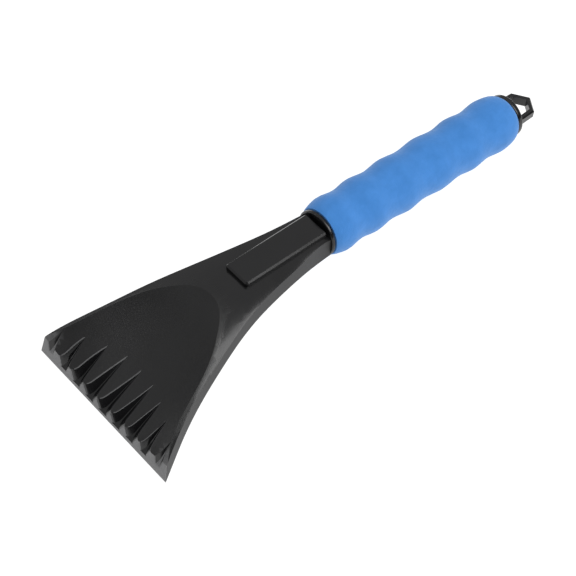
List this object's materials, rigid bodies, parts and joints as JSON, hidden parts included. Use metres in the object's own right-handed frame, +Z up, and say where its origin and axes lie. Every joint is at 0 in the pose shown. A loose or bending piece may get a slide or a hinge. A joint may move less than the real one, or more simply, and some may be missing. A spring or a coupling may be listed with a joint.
{
  "type": "windshield ice scraper",
  "caption": "Hand ice scraper: flared black blade with scooped face and notched teeth, neck with a label pad, lobed blue foam grip and end cap with a hanging loop.",
  "frame": {"origin": "centre of the footprint, on the surface that the tool lies on", "axes": "+X along the tool from the scraping edge to the hanging loop, +Y across the blade, +Z up, with the tool lying on its scraping edge and the last lobe of its grip"},
  "size_m": [0.3076, 0.1018, 0.0425],
  "materials": {
    "head_plastic": "semi-gloss black moulding, spark-eroded matte face on the blade",
    "tube_plastic": "plain black tube",
    "grip_foam": "matte closed-cell blue foam",
    "cap_plastic": "glossy black moulding"
  },
  "bodies": {
    "root": {"scraper_head": "head_plastic", "core_tube": "tube_plastic", "foam_grip": "grip_foam", "end_cap": "cap_plastic"}
  },
  "joints": []
}
